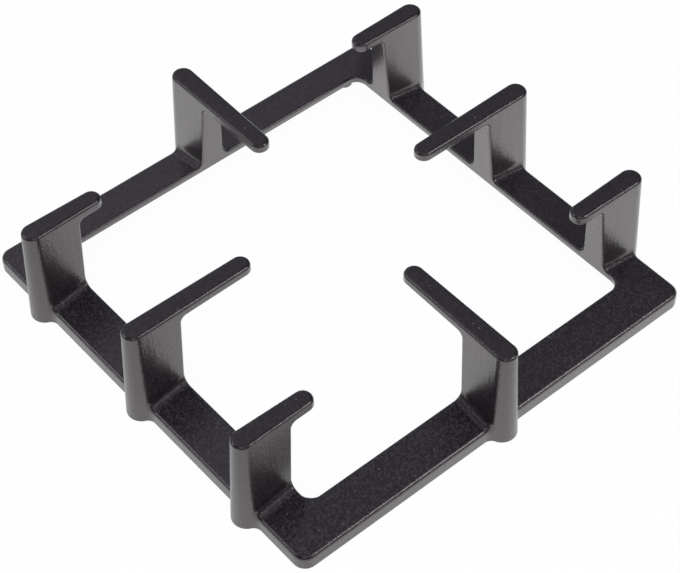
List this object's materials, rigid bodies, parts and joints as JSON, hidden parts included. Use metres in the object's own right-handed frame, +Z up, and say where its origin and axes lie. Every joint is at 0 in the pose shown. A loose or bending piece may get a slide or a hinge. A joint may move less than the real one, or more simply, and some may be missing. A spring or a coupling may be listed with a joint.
{
  "type": "hob pan support",
  "caption": "Square cast-iron ring that stands round a hob burner, with upright fingers whose arms reach inward and carry the pan.",
  "frame": {"origin": "centre of the ring on the plane its pads rest on", "axes": "+Z up, towards the pan; X runs square to the two sides that carry three fingers each, Y square to the two sides that carry one"},
  "size_m": [0.2326, 0.2326, 0.0539],
  "materials": {
    "enamelled_iron": "satin black enamel with a fine orange-peel texture"
  },
  "bodies": {
    "root": {"pan_support": "enamelled_iron"}
  },
  "joints": []
}
